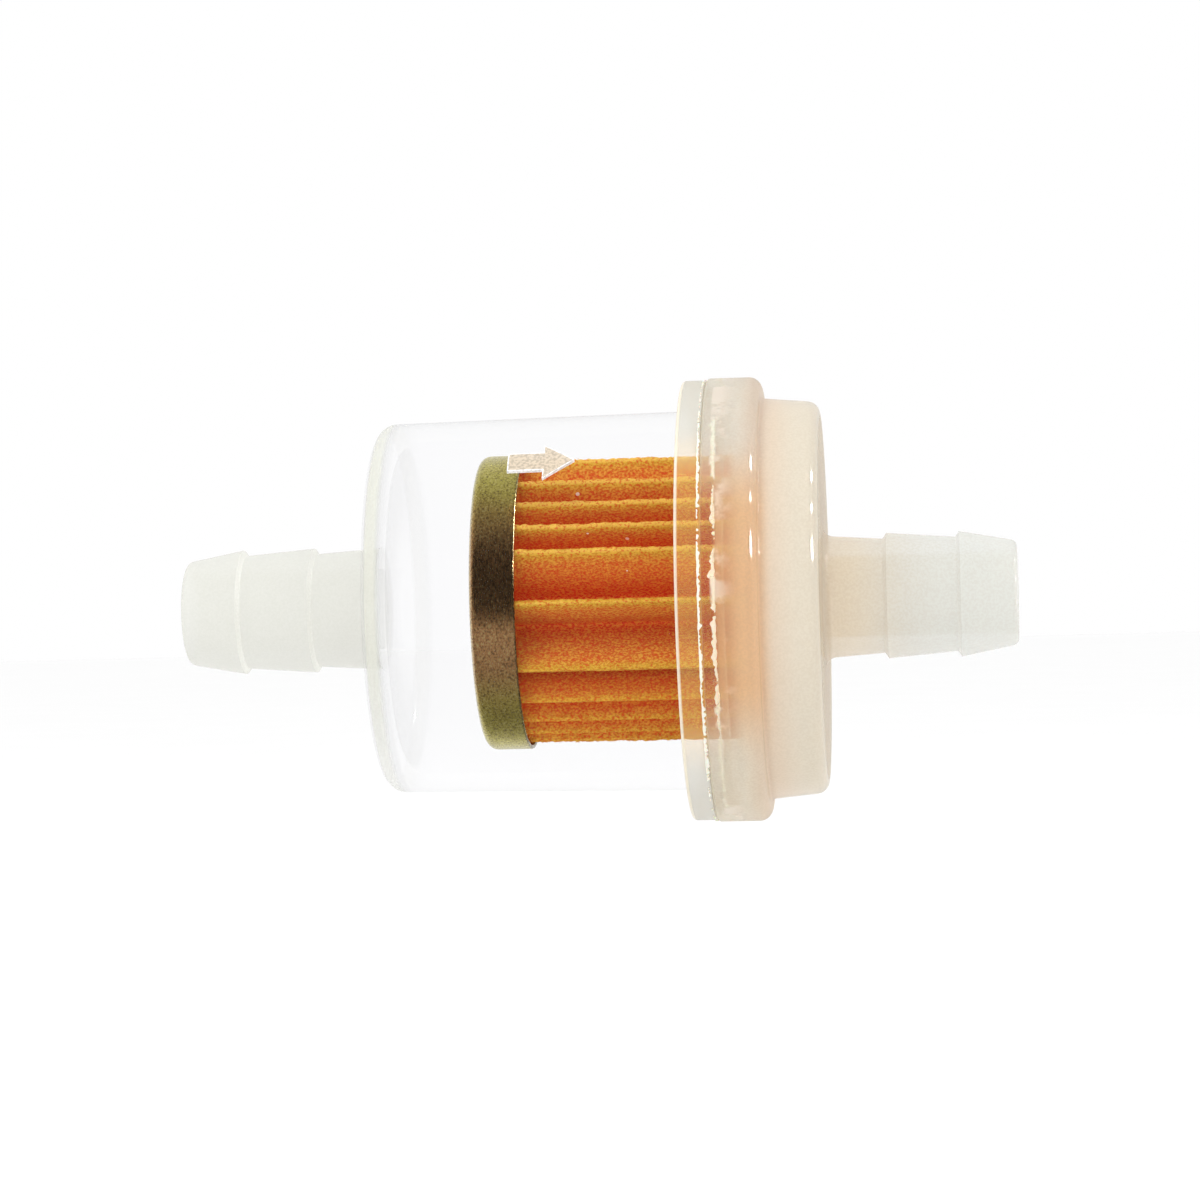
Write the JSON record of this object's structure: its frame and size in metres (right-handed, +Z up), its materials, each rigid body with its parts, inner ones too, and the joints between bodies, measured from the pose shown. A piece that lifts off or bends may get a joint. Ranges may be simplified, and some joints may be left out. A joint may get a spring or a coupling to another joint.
{
  "type": "inline fuel filter",
  "caption": "Clear inline fuel filter with a milky barbed cap, a pleated paper element under a pressed metal end cap, and a raised flow arrow.",
  "frame": {"origin": "on the turning axis, half way along the overall length", "axes": "+X is the flow direction, from the inlet barb to the outlet barb; +Z is up; the raised arrow is on the -Y, +Z side"},
  "size_m": [0.06, 0.0318, 0.0318],
  "materials": {
    "clear_plastic": "gloss",
    "milky_plastic": "satin",
    "passivated_steel": "satin",
    "filter_paper": "matte",
    "adhesive": "satin"
  },
  "bodies": {
    "root": {"inlet_bowl": "clear_plastic", "outlet_cap": "milky_plastic", "weld_ring": "milky_plastic", "element_cap": "passivated_steel", "inlet_potting": "adhesive", "pleated_paper": "filter_paper", "paper_seam": "adhesive", "outlet_potting": "adhesive"}
  },
  "joints": []
}
